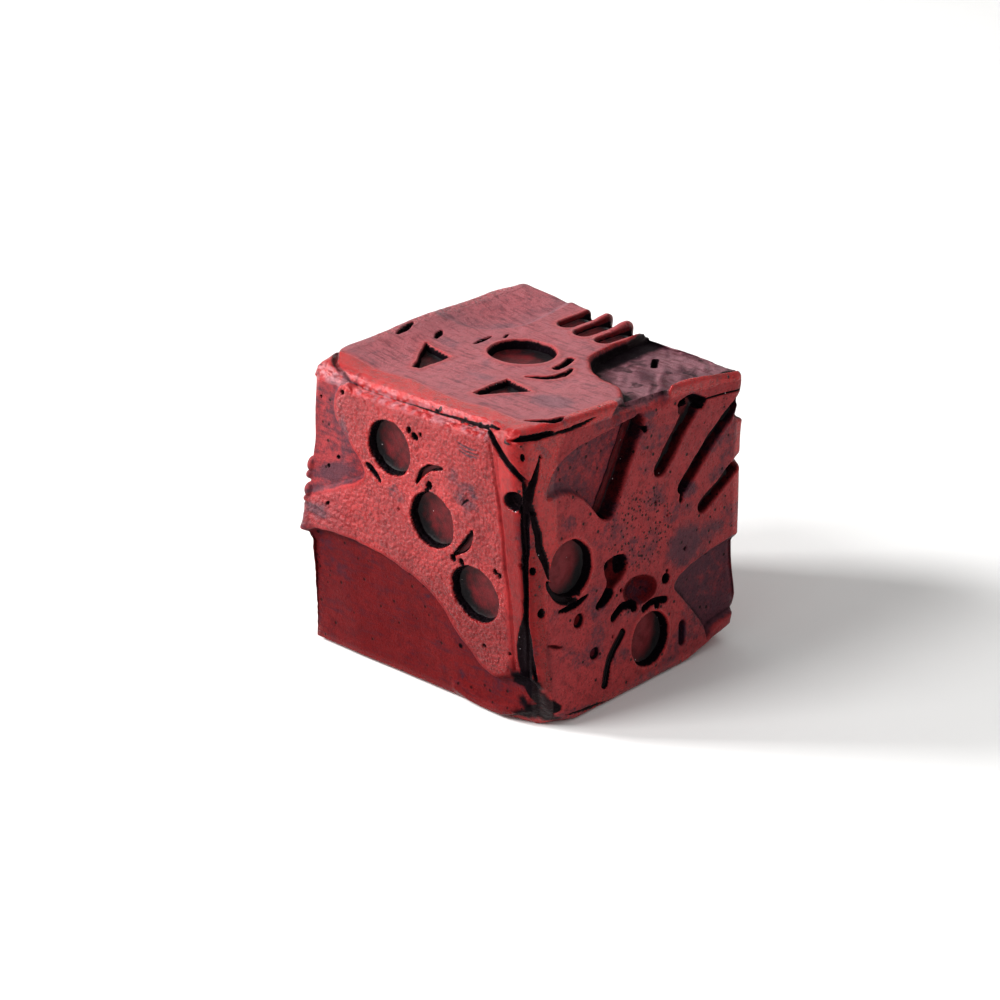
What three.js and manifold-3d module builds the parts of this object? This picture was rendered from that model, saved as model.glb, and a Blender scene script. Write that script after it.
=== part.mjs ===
// Hand-cast resin die with sunken pips and carved relief on all six sides.
// Units mm, +Z up, resting on its six-pip side at z = 0, one pip on top.
// The die is one casting. The only other pieces are the films of dark paint that have
// pooled and dried on the floors of the pips and of the deepest carved lines.

import * as THREE from 'three'
import { mergeVertices } from 'three/addons/utils/BufferGeometryUtils.js'
import Module from 'manifold-3d'

// ---------------------------------------------------------------- driving dimensions

const EDGE = 25
const HALF = EDGE / 2
const EDGE_RADIUS = 1.6
const PIP_DEPTH = 1.1
const LINE_DEPTH = 0.75
const GROUND_DEPTH = 0.8
const PORE_DEPTH = 0.9
const PAINT_THICKNESS = 0.2
const PAINT_GAP = 0.04
const POOL_SETBACK = 1.6
const CUTTER_OVERSHOOT = 2.5
const PIP_SIDES = 26
const PORE_SIDES = 10

// How far each corner of the hand-made mould leans from the true cube: side signs, then shift.
const CORNER_LEANS = [
  { side: [+1, -1, +1], shift: [-0.7, -0.45, 0.45] },
  { side: [+1, -1, -1], shift: [0.75, 0.65, 0] },
  { side: [-1, -1, +1], shift: [0.5, 0.3, -0.5] },
  { side: [-1, -1, -1], shift: [-0.55, -0.35, 0] },
  { side: [-1, +1, +1], shift: [-0.15, 0, 0.3] },
  { side: [+1, +1, +1], shift: [0.15, -0.1, -0.45] },
  { side: [+1, +1, -1], shift: [0.05, 0, 0] },
]
const LEFT_CROWN_HEIGHT = 1.2
const LEFT_CROWN_WIDTH = 5.5

const RED_RESIN = new THREE.MeshStandardMaterial({ color: 0x9c2630, roughness: 0.42, metalness: 0 })
const DARK_PAINT = new THREE.MeshStandardMaterial({ color: 0x1b0f13, roughness: 0.5, metalness: 0 })

// Each side has its own axes: u to the right, v up, out away from the die.
const SIDES = {
  top: { u: [1, 0, 0], v: [0, 1, 0], out: [0, 0, 1] },
  front: { u: [1, 0, 0], v: [0, 0, 1], out: [0, -1, 0] },
  right: { u: [0, 1, 0], v: [0, 0, 1], out: [1, 0, 0] },
  back: { u: [-1, 0, 0], v: [0, 0, 1], out: [0, 1, 0] },
  left: { u: [0, -1, 0], v: [0, 0, 1], out: [-1, 0, 0] },
  bottom: { u: [1, 0, 0], v: [0, -1, 0], out: [0, 0, -1] },
}

// ---------------------------------------------------------------- outlines
// Each outline is a function of an inset, so a paint film can be drawn just inside its recess.

const oval = (u, v, radiusU, radiusV = radiusU, sides = PIP_SIDES) => (inset = 0) => {
  const shape = new THREE.Shape()
  shape.absellipse(u, v, radiusU - inset, radiusV - inset, 0, 2 * Math.PI)
  return new THREE.Shape(shape.getPoints(sides / 2).slice(0, -1))
}

const polygon = (points) => (inset = 0) => {
  const corners = points.map(([u, v]) => new THREE.Vector2(u, v))
  const centre = corners.reduce((sum, p) => sum.add(p), new THREE.Vector2()).divideScalar(corners.length)
  const reach = Math.min(...corners.map((p) => p.distanceTo(centre)))
  const keep = 1 - (2.5 * inset) / reach
  return new THREE.Shape(corners.map((p) => centre.clone().lerp(p, keep)))
}

const patch = (points) => () => {
  const curve = new THREE.CatmullRomCurve3(points.map(([u, v]) => new THREE.Vector3(u, v, 0)), true)
  const loop = curve.getPoints(points.length * 2).slice(0, -1)
  return new THREE.Shape(loop.map((p) => new THREE.Vector2(p.x, p.y)))
}

/** A tool stroke of the given width along a line, with round ends; ends narrow to endShare. */
const stroke = (points, width, endShare = 1) => (inset = 0) => {
  const spine = new THREE.SplineCurve(points.map(([u, v]) => new THREE.Vector2(u, v)))
  const steps = points.length > 2 ? 3 * (points.length - 1) : 1
  const halfWidth = (t) => (width / 2) * (endShare + (1 - endShare) * Math.sin(Math.PI * t)) - inset
  const offset = (t, side) => {
    const tangent = spine.getTangent(t)
    const across = new THREE.Vector2(-tangent.y, tangent.x).multiplyScalar(side * halfWidth(t))
    return spine.getPoint(t).add(across)
  }
  const cap = (t, turn) => {
    const heading = spine.getTangent(t).angle() + turn
    return [-0.5, 0, 0.5].map((part) => {
      const angle = heading - (part * Math.PI) / 1.5
      const reach = new THREE.Vector2(Math.cos(angle), Math.sin(angle)).multiplyScalar(halfWidth(t))
      return reach.add(spine.getPoint(t))
    })
  }
  const ts = Array.from({ length: steps + 1 }, (_, i) => i / steps)
  const leftSide = ts.map((t) => offset(t, 1))
  const rightSide = ts.map((t) => offset(t, -1)).reverse()
  return new THREE.Shape([...leftSide, ...cap(1, 0), ...rightSide, ...cap(0, Math.PI)])
}

// ---------------------------------------------------------------- what is carved on each side
// floor(u, v) gives a recess floor that is not level. paint names the film lying in a recess;
// pool is its outline where the film stops short of an open end.

const pips = (side, centres, radiusU, radiusV = radiusU) =>
  centres.map(([u, v], i) => ({
    outline: oval(u, v, radiusU, radiusV),
    depth: PIP_DEPTH,
    paint: `pip_paint_${side}_${i + 1}`,
  }))

const pores = (spots) =>
  spots.map(([u, v, radius]) => ({ outline: oval(u, v, radius, radius, PORE_SIDES), depth: PORE_DEPTH }))

const sunkGround = (points, floor) => ({ outline: patch(points), depth: GROUND_DEPTH, floor })

/** Finger grooves side by side, each [u, lowest v], running out over the upper edge of a side. */
const openGrooves = (side, grooves, width, depth) =>
  grooves.map(([u, blindEnd], i) => ({
    outline: stroke([[u, HALF + 1.5], [u, blindEnd]], width),
    pool: stroke([[u, HALF - POOL_SETBACK - width / 2], [u, blindEnd]], width),
    depth,
    paint: `groove_paint_${side}_${i + 1}`,
  }))

const topRelief = () => [
  {
    outline: patch([
      [2.4, 16], [2.3, 9.5], [2.6, 5.8], [4.9, 2.7], [7.9, 1.2], [10.4, 0.4], [12.0, -1.2],
      [15.5, -3.4], [16, 1], [14.6, 3.9], [12.1, 5.2], [11.8, 9], [12, 16],
    ]),
    depth: GROUND_DEPTH,
    floor: (u, v) => 1.05 - 0.02 * (u - 2.5) - 0.012 * v,
  },
  ...pips('top', [[-1.6, 1.35]], 3.1, 2.8),
  ...openGrooves('top', [[-3.5, 8.7], [-1.1, 8.2], [1.1, 8]], 1.7, 0.8),
  {
    outline: polygon([[-8.7, -3.0], [-5.1, -3.6], [-5.3, -6.9], [-6.0, -7.0]]),
    depth: 0.85,
    paint: 'wedge_paint_top_1',
  },
  {
    outline: polygon([[2.3, -4.0], [5.6, -4.7], [3.3, -8.2], [2.6, -7.8]]),
    depth: 0.85,
    paint: 'wedge_paint_top_2',
  },
  {
    outline: stroke([[4.2, 1.1], [4.5, -0.7], [3.0, -2.2]], 0.9, 0.5),
    depth: LINE_DEPTH,
    paint: 'line_paint_top_1',
  },
  { outline: stroke([[2.5, 2.8], [3.0, 0.6]], 0.7), depth: 0.6 },
  { outline: stroke([[-6.2, 2.0], [-5.9, 0.0]], 0.5), depth: 0.4 },
  { outline: stroke([[-10.0, 0.0], [-9.4, -1.2]], 0.6), depth: 0.5 },
  { outline: stroke([[-13.1, -0.3], [-12.7, -2.4]], 0.7), depth: 1.8 },
  { outline: stroke([[11.8, -7.3], [11.7, -8.4], [10.5, -9.5]], 0.9, 0.5), depth: 1.0 },
  { outline: stroke([[-8.5, -12.1], [-2, -12.3], [4, -12.1], [9, -11.9]], 0.35), depth: 1.6 },
]

const frontRelief = () => [
  sunkGround(
    [[-15, 14.5], [-7.4, 14], [-9.2, 10.6], [-8.9, 8.1], [-7.0, 6.5], [-5.8, 4.6], [-7.4, 3.1], [-15, 0.2]],
    (u) => 0.75 + 0.1 * (u + 6)
  ),
  sunkGround(
    [[-15, -2.6], [-9.5, 0.6], [-4.5, -0.8], [0.5, -2.6], [3.6, -5.4], [6.8, -8.2], [9.6, -8.2], [11.6, -11],
      [11, -15], [-15, -15]],
    (u, v) => 0.75 + 0.05 * (v + 6)
  ),
  ...pips('front', [[-2.9, 7.85], [1.95, 2.9], [6.5, -2.1]], 2.65, 2.4),
  { outline: stroke([[0.5, 5.9], [1.5, 7.0], [3.1, 7.5]], 0.6), depth: 0.6, paint: 'line_paint_front_1' },
  { outline: stroke([[4.7, 0.9], [5.6, 1.6], [6.5, 2.9]], 0.7), depth: 0.6, paint: 'line_paint_front_2' },
  { outline: stroke([[-5.5, 5.6], [-4.2, 4.8]], 0.6), depth: 0.5 },
  {
    outline: stroke([[9.3, 12.6], [11, 9.9], [12.1, 7.6], [12.2, 2], [11.6, -3], [11.1, -8]], 0.5),
    depth: 1.3,
  },
  ...pores([[11.5, 7.0, 0.9], [-0.1, 9.8, 0.45], [1.8, 5.8, 0.4], [9.1, 0.4, 0.35], [4.4, 0.3, 0.4]]),
]

const rightRelief = () => [
  sunkGround(
    [[-9.9, 6.6], [-9.4, 9.2], [-5.2, 10.4], [-1.2, 10.8], [0.4, 10.6], [-0.6, 8.2], [-3.4, 3.4], [-5.4, 5.0],
      [-7.6, 6.4]],
    (u, v) => 0.75 + 0.06 * (u + 5) - 0.06 * (v - 7)
  ),
  sunkGround(
    [[4.3, -5.1], [5.6, -3.8], [8.6, -2.9], [15, -2.6], [15, -11.4], [8.6, -11.6], [7.4, -9.3], [5.4, -6.7]],
    (u) => 0.85 + 0.01 * (u - 5)
  ),
  { outline: stroke([[0.3, 10.1], [-3.3, 3.9]], 1.3), depth: 1.6, paint: 'groove_paint_right_1' },
  ...pips('right', [[-7.8, 0.35], [1.05, -8.65]], 2.45),
  { outline: stroke([[6.5, 10.1], [2.8, 5.8]], 1.3), depth: 1.1, paint: 'groove_paint_right_2' },
  { outline: stroke([[5.7, 10.5], [7.4, 10.4]], 0.9), depth: 0.8 },
  {
    outline: stroke([[14, 11.7], [5.6, 3.6]], 1.2),
    pool: stroke([[11.2, 9], [5.6, 3.6]], 1.2),
    depth: 1.1,
    paint: 'groove_paint_right_3',
  },
  {
    outline: stroke([[14, 5.1], [8, 1.2]], 1.2),
    pool: stroke([[11.2, 3.3], [8, 1.2]], 1.2),
    depth: 1.0,
    paint: 'groove_paint_right_4',
  },
  {
    outline: polygon([
      [-3.8, -0.3], [-2.5, 0], [-1.6, -0.5], [-1.5, -1.5], [-3.2, -3.4], [-4.5, -4], [-4.8, -3.5],
    ]),
    depth: 0.8,
  },
  { outline: oval(0.2, -4.0, 1.8, 1.1), depth: 0.45 },
  { outline: stroke([[-3.2, -5.2], [-2, -4.7], [-0.7, -5.1]], 0.7), depth: 0.7 },
  { outline: stroke([[0.8, -5.7], [2.8, -5.7]], 0.6), depth: 0.6 },
  {
    outline: stroke([[-4.5, -10.7], [-3.9, -8.6], [-2.4, -7.0]], 0.75),
    depth: 0.7,
    paint: 'line_paint_right_1',
  },
  { outline: stroke([[5.2, -8.8], [5.2, -10.3]], 0.9), depth: 0.4 },
  { outline: stroke([[-9.0, -2.8], [-6.4, -2.5]], 0.5), depth: 0.5 },
  { outline: stroke([[-10.6, 9.8], [-11.1, 6], [-10.9, 3], [-10.4, 1.2]], 0.5), depth: 0.8 },
  ...pores([
    [3.2, -3.9, 0.5], [-7.2, -4.3, 0.5], [-5.6, -7.6, 0.5],
    [1.1, 9.6, 0.35], [-11.7, 1.3, 0.4], [-11.2, -2.3, 0.4],
  ]),
]

const backRelief = () => [
  sunkGround(
    [[-15, 15], [-1.2, 15], [-1.8, 9.8], [-5, 8], [-9.5, 7.6], [-15, 8.4]],
    (u, v) => 0.5 + 0.06 * (v - 8)
  ),
  ...pips('back', [[-4.8, -4.8], [4.8, -4.8], [-4.8, 4.4], [4.8, 4.4]], 2.5),
  ...openGrooves('back', [[3.4, 9.6], [1.1, 9.2], [-1.1, 9.6]], 1.5, 0.7),
  {
    outline: stroke([[-1.6, -1.2], [0, -0.2], [1.6, -1.1]], 0.8, 0.5),
    depth: LINE_DEPTH,
    paint: 'line_paint_back_1',
  },
  { outline: polygon([[-1.9, -7.6], [1.5, -7.9], [0, -10.6]]), depth: LINE_DEPTH },
  ...pores([[9.1, 0.4, 0.45], [-8.9, 0.8, 0.4]]),
]

const leftRelief = () => [
  sunkGround([[4.5, 15], [15, 15], [15, -2], [11, -1.2], [9, 2.4], [9.4, 8.2]], (u) => 0.7 - 0.07 * (u - 9)),
  ...pips('left', [[-5, 5], [5, 5], [0, 0], [-5, -5], [5, -5]], 2.4),
  {
    outline: stroke([[-9.4, 3.2], [-9.9, 0], [-9.2, -3.1]], 0.8, 0.5),
    depth: LINE_DEPTH,
    paint: 'line_paint_left_1',
  },
  { outline: stroke([[-1.8, -8.6], [0, -9.2], [2, -8.7]], 0.7), depth: 0.6 },
  { outline: polygon([[-1.5, 8.6], [1.6, 8.4], [0.2, 5.6]]), depth: LINE_DEPTH },
  ...pores([[9.4, -8.6, 0.45], [-8.7, 8.9, 0.4]]),
]

const bottomRelief = () => [
  ...pips('bottom', [-6.5, 0, 6.5].flatMap((v) => [[-4.6, v], [4.6, v]]), 2.3),
  { outline: stroke([[-0.9, 2.9], [0.9, 3.6]], 0.7), depth: 0.6 },
  { outline: stroke([[-0.9, -3.6], [0.9, -2.9]], 0.7), depth: 0.6 },
  ...pores([[8.8, 9.0, 0.45], [-8.9, -8.7, 0.4]]),
]

const RELIEF = {
  top: topRelief(),
  front: frontRelief(),
  right: rightRelief(),
  back: backRelief(),
  left: leftRelief(),
  bottom: bottomRelief(),
}

// ---------------------------------------------------------------- solids

const wasm = await Module()
wasm.setup()
const { Manifold, Mesh } = wasm

function toManifold(geometry) {
  const bare = geometry.clone()
  bare.deleteAttribute('normal')
  bare.deleteAttribute('uv')
  const welded = mergeVertices(bare, 1e-4)
  const vertProperties = welded.attributes.position.array
  const triVerts = Uint32Array.from(welded.index.array)
  return new Manifold(new Mesh({ numProp: 3, vertProperties, triVerts }))
}

/** The plain block: a grid over the cube, pulled in round every edge. */
function roundedBlock() {
  const upperLines = [2.5, 7, HALF - EDGE_RADIUS, HALF - 0.55, HALF]
  const lines = [...upperLines.map((line) => -line).reverse(), ...upperLines]
  const cells = lines.length - 1
  const geometry = new THREE.BoxGeometry(EDGE, EDGE, EDGE, cells, cells, cells)
  const position = geometry.attributes.position
  const onLine = (value) => lines[Math.round(((value + HALF) / EDGE) * cells)]
  const core = HALF - EDGE_RADIUS
  for (let i = 0; i < position.count; i++) {
    const place = new THREE.Vector3().fromBufferAttribute(position, i).toArray()
    const point = new THREE.Vector3(...place.map(onLine))
    const centre = point.clone().clampScalar(-core, core)
    point.sub(centre).setLength(EDGE_RADIUS).add(centre)
    position.setXYZ(i, point.x, point.y, point.z + HALF)
  }
  return toManifold(geometry)
}

/** A prism on one side of the die, from level `low` to level `high` above that side's plane. */
function prism(side, shape, low, high) {
  const geometry = new THREE.ExtrudeGeometry(shape, { depth: high - low, bevelEnabled: false })
  geometry.translate(0, 0, low)
  return { geometry, side }
}

function placeOnSide({ geometry, side }) {
  const { u, v, out } = SIDES[side]
  const outward = new THREE.Vector3(...out)
  const place = new THREE.Matrix4().makeBasis(new THREE.Vector3(...u), new THREE.Vector3(...v), outward)
  place.setPosition(outward.clone().multiplyScalar(HALF).add(new THREE.Vector3(0, 0, HALF)))
  return toManifold(geometry.applyMatrix4(place))
}

function cutter(side, recess) {
  const tool = prism(side, recess.outline(), -recess.depth, CUTTER_OVERSHOOT)
  if (recess.floor) {
    const position = tool.geometry.attributes.position
    for (let i = 0; i < position.count; i++) {
      if (position.getZ(i) < 0) position.setZ(i, -recess.floor(position.getX(i), position.getY(i)))
    }
  }
  return placeOnSide(tool)
}

function paintFilm(side, recess) {
  const outline = (recess.pool ?? recess.outline)(PAINT_GAP + 0.02)
  const low = -recess.depth + PAINT_GAP
  return placeOnSide(prism(side, outline, low, low + PAINT_THICKNESS))
}

/** Moves a point of the true block to where the leaning, crowned mould puts it. */
function settle(point) {
  const share = (value, side) => 0.5 + (side * value) / EDGE
  const height = point.z - HALF
  const moved = point.clone()
  for (const { side, shift } of CORNER_LEANS) {
    const weight = share(point.x, side[0]) * share(point.y, side[1]) * share(height, side[2])
    moved.addScaledVector(new THREE.Vector3(...shift), weight)
  }
  const nearLeft = Math.max(0, 1 - (point.x + HALF) / LEFT_CROWN_WIDTH)
  const nearTop = Math.max(0, point.z / EDGE) ** 3
  moved.z += LEFT_CROWN_HEIGHT * nearLeft ** 1.5 * nearTop * Math.cos((Math.PI * point.y) / EDGE)
  return moved
}

function toSettledMesh(name, solid, material) {
  const { vertProperties, triVerts } = solid.getMesh()
  const geometry = new THREE.BufferGeometry()
  const position = new THREE.BufferAttribute(new Float32Array(vertProperties), 3)
  for (let i = 0; i < position.count; i++) {
    const point = settle(new THREE.Vector3().fromBufferAttribute(position, i))
    position.setXYZ(i, point.x, point.y, point.z)
  }
  geometry.setAttribute('position', position)
  geometry.setIndex([...triVerts])
  geometry.computeVertexNormals()
  const mesh = new THREE.Mesh(geometry, material)
  mesh.name = name
  return mesh
}

// ---------------------------------------------------------------- assembly

const die = new THREE.Group()
die.name = 'casino_die'

let castBody = roundedBlock()
for (const [side, recesses] of Object.entries(RELIEF)) {
  for (const recess of recesses) castBody = castBody.subtract(cutter(side, recess))
}
die.add(toSettledMesh('cast_body', castBody, RED_RESIN))

for (const [side, recesses] of Object.entries(RELIEF)) {
  for (const recess of recesses.filter((r) => r.paint)) {
    die.add(toSettledMesh(recess.paint, paintFilm(side, recess), DARK_PAINT))
  }
}

export default die
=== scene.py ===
"""A hand-cast resin die: sunken pips, carved relief, black wash rubbed into the recesses.

The casting is one dense mesh over a rounded cube. Each of its six sides has a relief, drawn in
that side's own axes in millimetres, which says how deep every point is cut and how it is painted.
Reliefs run on a little way round the edges, so a groove can turn over an edge. The painted pools
on the recess floors are pieces of their own, one for each paint film in the frame.
"""

import math
from functools import partial, reduce
from itertools import product

import bmesh
import bpy
import numpy as np
from mathutils import Matrix, Vector


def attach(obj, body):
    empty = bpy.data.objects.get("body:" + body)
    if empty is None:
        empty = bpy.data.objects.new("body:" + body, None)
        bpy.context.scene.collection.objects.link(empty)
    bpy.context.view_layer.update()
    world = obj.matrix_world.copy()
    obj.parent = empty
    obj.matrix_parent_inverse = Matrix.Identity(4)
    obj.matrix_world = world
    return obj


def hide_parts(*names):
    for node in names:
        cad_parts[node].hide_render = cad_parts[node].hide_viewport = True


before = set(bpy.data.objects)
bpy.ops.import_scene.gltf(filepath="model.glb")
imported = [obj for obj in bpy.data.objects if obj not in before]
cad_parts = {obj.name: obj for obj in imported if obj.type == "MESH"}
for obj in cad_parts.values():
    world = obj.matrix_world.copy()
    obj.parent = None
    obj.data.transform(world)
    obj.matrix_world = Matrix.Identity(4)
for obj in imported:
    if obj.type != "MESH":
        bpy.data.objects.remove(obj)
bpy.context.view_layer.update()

# ------------ driving dimensions (mm)

MM = 0.001
EDGE = 25.0
HALF = EDGE / 2
EDGE_RADIUS = 0.45
CELLS = 300
WRAP = 1.7
PIP_DEPTH = 1.1
LINE_DEPTH = 0.6
WEDGE_DEPTH = 0.85
OPEN_GROOVE_DEPTH = 0.75
FILM_THICKNESS = 0.2
FILM_CLIMB = 0.2
FILM_BEDDING = 0.02
PIP_FILM_GAP = 0.16
ATLAS_MARGIN = 0.02

# How far each corner of the hand-made mould leans from the true cube: side signs, then shift.
CORNER_LEANS = (
    ((+1, -1, +1), (-0.7, -0.45, 0.45)),
    ((+1, -1, -1), (0.75, 0.65, 0.0)),
    ((-1, -1, +1), (0.5, 0.3, -0.5)),
    ((-1, -1, -1), (-0.55, -0.35, 0.0)),
    ((-1, +1, +1), (-0.15, 0.0, 0.3)),
    ((+1, +1, +1), (0.15, -0.1, -0.45)),
    ((+1, +1, -1), (0.05, 0.0, 0.0)),
)
LEFT_CROWN_HEIGHT = 1.2
LEFT_CROWN_WIDTH = 5.5

# Edges and corners worn rounder than the rest: segment ends (z from the rest plane) and radius.
WORN_EDGES = (
    ((-12.5, -12.5, 25.0), (12.5, -12.5, 25.0), 1.3),
    ((12.5, -12.5, 25.0), (12.5, -12.5, 0.0), 1.1),
    ((12.5, -12.5, 0.0), (12.5, -12.5, 0.1), 2.3),
    ((12.5, 12.5, 25.0), (12.5, 12.5, 24.9), 1.2),
    ((-12.5, 12.5, 25.0), (-12.5, 12.5, 24.9), 1.0),
    ((12.5, 12.5, 0.0), (12.5, 12.5, 0.1), 1.4),
)
# Soft swellings of the casting: middle, reach and shift.
SWELLINGS = (
    ((-12.5, -12.5, 11.0), 6.0, (-0.55, -0.55, 0.0)),
    ((-10.5, 12.5, 25.0), 4.5, (0.0, 0.15, 0.75)),
    ((-12.5, -11.0, 25.0), 4.0, (-0.4, -0.25, 0.5)),
    ((12.5, 12.5, 24.0), 3.0, (0.5, 0.5, 0.0)),
    ((12.5, 12.5, 3.5), 3.0, (0.35, 0.35, 0.0)),
)

# Each side's own axes: u to the right, v up, out away from the die.
SIDES = {
    "top": ((1, 0, 0), (0, 1, 0), (0, 0, 1)),
    "front": ((1, 0, 0), (0, 0, 1), (0, -1, 0)),
    "right": ((0, 1, 0), (0, 0, 1), (1, 0, 0)),
    "back": ((-1, 0, 0), (0, 0, 1), (0, 1, 0)),
    "left": ((0, -1, 0), (0, 0, 1), (-1, 0, 0)),
    "bottom": ((1, 0, 0), (0, -1, 0), (0, 0, -1)),
}

# ------------ fields and outlines


def ease(x):
    """0 below 0, 1 above 1, and a smooth rise between."""
    x = np.clip(x, 0.0, 1.0)
    return x * x * (3 - 2 * x)


def noise(points, cell, seed):
    """Smooth random values from -1 to 1 at 3-D points, with lumps about `cell` mm across."""
    table = np.random.default_rng(seed).uniform(-1, 1, (32, 32, 32))
    scaled = np.asarray(points) / cell + 7.3
    low = np.floor(scaled).astype(int)
    part = ease(scaled - low)
    total = np.zeros(scaled.shape[:-1])
    for corner in product((0, 1), repeat=3):
        weight = np.prod(np.where(corner, part, 1 - part), axis=-1)
        i, j, k = np.moveaxis((low + corner) % 32, -1, 0)
        total += weight * table[i, j, k]
    return total


def smooth_line(points, closed=False, steps=5):
    """A Catmull-Rom curve through the points."""
    points = np.asarray(points, float)
    if closed:
        padded = np.vstack([points[-1], points, points[:2]])
    else:
        padded = np.vstack([2 * points[0] - points[1], points, 2 * points[-1] - points[-2]])
    t = (np.arange(steps) / steps)[:, None]
    runs = []
    for a, b, c, d in zip(padded, padded[1:], padded[2:], padded[3:]):
        runs.append(0.5 * (2 * b + (c - a) * t + (2 * a - 5 * b + 4 * c - d) * t**2
                           + (3 * b - a - 3 * c + d) * t**3))
    line = np.vstack(runs)
    return line if closed else np.vstack([line, points[-1]])


def segment_gap(uv, a, b):
    """Distance from each point to the segment from a to b, and how far along it that is."""
    step = b - a
    along = np.clip(((uv - a) @ step) / (step @ step), 0, 1)
    return np.linalg.norm(uv - a - along[:, None] * step, axis=1), along


# ------------ the relief of one side


class Relief:
    """How deep each point of one side is cut, how it is painted and worn, and where shading and sheen are
    painted on (all 0 to 1).

    Outlines are given as the signed distance of every point to them, negative inside.
    """

    PAINTED = ("soot", "haze", "shade", "dust", "polish", "pebble", "pores", "brush")
    CHANNELS = ("depth", "rise", *PAINTED)

    def __init__(self, uv, seed):
        self.rough = np.column_stack([uv, np.full(len(uv), 3.0 * seed)])
        wander = [0.07 * self.noise(1.1, seed + k) + 0.04 * self.noise(0.5, seed + k + 2)
                  for k in (0, 1)]
        self.uv = uv + np.column_stack(wander)
        self.u, self.v = self.uv.T
        for channel in self.CHANNELS:
            setattr(self, channel, np.zeros(len(uv)))

    def noise(self, cell, seed):
        return noise(self.rough, cell, seed)

    def stroke(self, points, width, taper=1.0):
        """A round-ended tool stroke; its ends have `taper` of the full width."""
        line = smooth_line(points) if len(points) > 2 else np.asarray(points, float)
        distance = np.full(len(self.uv), 1e9)
        for i, (a, b) in enumerate(zip(line, line[1:])):
            gap, along = segment_gap(self.uv, a, b)
            share = (i + along) / (len(line) - 1)
            half_width = width / 2 * (taper + (1 - taper) * np.sin(math.pi * share))
            distance = np.minimum(distance, gap - half_width)
        return distance

    def oval(self, u, v, radius_u, radius_v=None, turn=0.0):
        """An oval, near enough, whose long axis is turned by `turn` degrees."""
        radii = np.array([radius_u, radius_v or radius_u])
        c, s = math.cos(math.radians(turn)), math.sin(math.radians(turn))
        local = (self.uv - (u, v)) @ np.array([[c, -s], [s, c]])
        share = np.linalg.norm(local / radii, axis=1)
        return (share - 1) * radii.mean()

    def polygon(self, corners):
        corners = np.asarray(corners, float)
        distance = np.full(len(self.uv), 1e9)
        inside = np.zeros(len(self.uv), bool)
        u, v = self.uv.T
        for a, b in zip(corners, np.roll(corners, -1, axis=0)):
            distance = np.minimum(distance, segment_gap(self.uv, a, b)[0])
            rise = b[1] - a[1]
            if rise:
                inside ^= ((v < a[1]) != (v < b[1])) & (u < a[0] + (v - a[1]) * (b[0] - a[0]) / rise)
        return np.where(inside, -distance, distance)

    def patch(self, points):
        """A smooth closed outline through the points."""
        return self.polygon(smooth_line(points, closed=True))

    def more(self, channel, amount):
        setattr(self, channel, np.maximum(getattr(self, channel), amount))

    def dig(self, distance, depth, wall=0.3, soot=1.0, black_from=0.02, shade=1.0, lip=0.0):
        """Sinks the inside of an outline: painted shading from its rim, and black wash with painted shading
        from the share `black_from` of the way down.
        """
        share = ease(-distance / wall)
        self.more("depth", depth * share)
        self.more("soot", soot * ease((share - black_from) / 0.15))
        self.more("shade", shade * ease(-distance / 0.15))
        if lip:
            bulge = np.exp(-((distance / np.where(distance > 0, 0.4, 0.12)) ** 2))
            self.more("rise", lip * bulge)
            self.more("polish", 0.6 * bulge)

    def cut(self, points, width, depth, taper=1.0, **looks):
        """Digs a tool stroke."""
        self.dig(self.stroke(points, width, taper), depth, **looks)

    def cut_open_grooves(self, side):
        """Digs the finger grooves that run out over the edge that the top and the back share."""
        for u, v, width in OPEN_GROOVES[side]:
            self.cut([(u, HALF + 2), (u, v)], width, OPEN_GROOVE_DEPTH, wall=0.6, black_from=0.3, lip=0.04)

    def cut_pips(self, side):
        centres, *shape = PIPS[side]
        for u, v in centres:
            self.dig(self.oval(u, v, *shape), PIP_DEPTH, wall=0.38, lip=0.06)

    def pit(self, *spots):
        """Casting pores: (u, v, radius) of each."""
        for u, v, radius in spots:
            self.dig(self.oval(u, v, radius), 0.7, wall=min(0.3, 0.8 * radius), black_from=0.0)

    def smudge(self, *spots):
        """Soft patches of wash left unrubbed: (u, v, both radii, strength) and a turn if it has one."""
        for u, v, radius_u, radius_v, strength, *turn in spots:
            distance = self.oval(u, v, radius_u, radius_v, *turn)
            self.more("haze", strength * ease(0.5 - distance / max(radius_u, 0.6)))

    def raise_blob(self, u, v, radius, height):
        """A rounded blob standing out of the surface."""
        share = np.clip(1 + self.oval(u, v, radius) / radius, 0, 1)
        self.more("rise", height * np.sqrt(1 - share**2))

    def sink_ground(self, distance, depth, wall=0.45, haze=0.8, spread=3.0, shade=0.3):
        """Sinks a wide ground with painted shading on it; the wash on it is thickest along the foot of its
        wall.
        """
        self.more("depth", depth * ease(-distance / wall))
        inside = ease(-distance / 0.3)
        near_wall = np.exp(np.minimum(distance, 0) / spread)
        self.more("haze", haze * inside * (0.3 + 0.7 * near_wall))
        self.more("shade", shade * inside)
        self.pebble *= 1 - 0.7 * inside

    def wrinkle(self, where, height, black_above, blackness, seed):
        """Small folds of the skin, with wash on the taller ones."""
        folds = where * self.noise(0.45, seed) * self.noise(1.5, seed + 1)
        self.more("rise", height * np.maximum(folds, 0))
        self.more("soot", 0.8 * ease((folds - black_above) / 0.15) * blackness)

    # Blackens the surface raggedly within `reach` of the side's lower corner.
    def blacken_lower_corner(self, corner_u, reach, seed):
        gap = np.hypot(self.u - corner_u, self.v + HALF)
        self.more("soot", 0.75 * ease((reach - gap + 1.3 * self.noise(1.2, seed)) / 1.5))

    def bare(self):
        """Where no black, painted shading or polish covers the resin, so that the pale dusting and painted
        sheen show.
        """
        return (1 - self.polish) * (1 - np.maximum(self.shade, self.soot))


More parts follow.
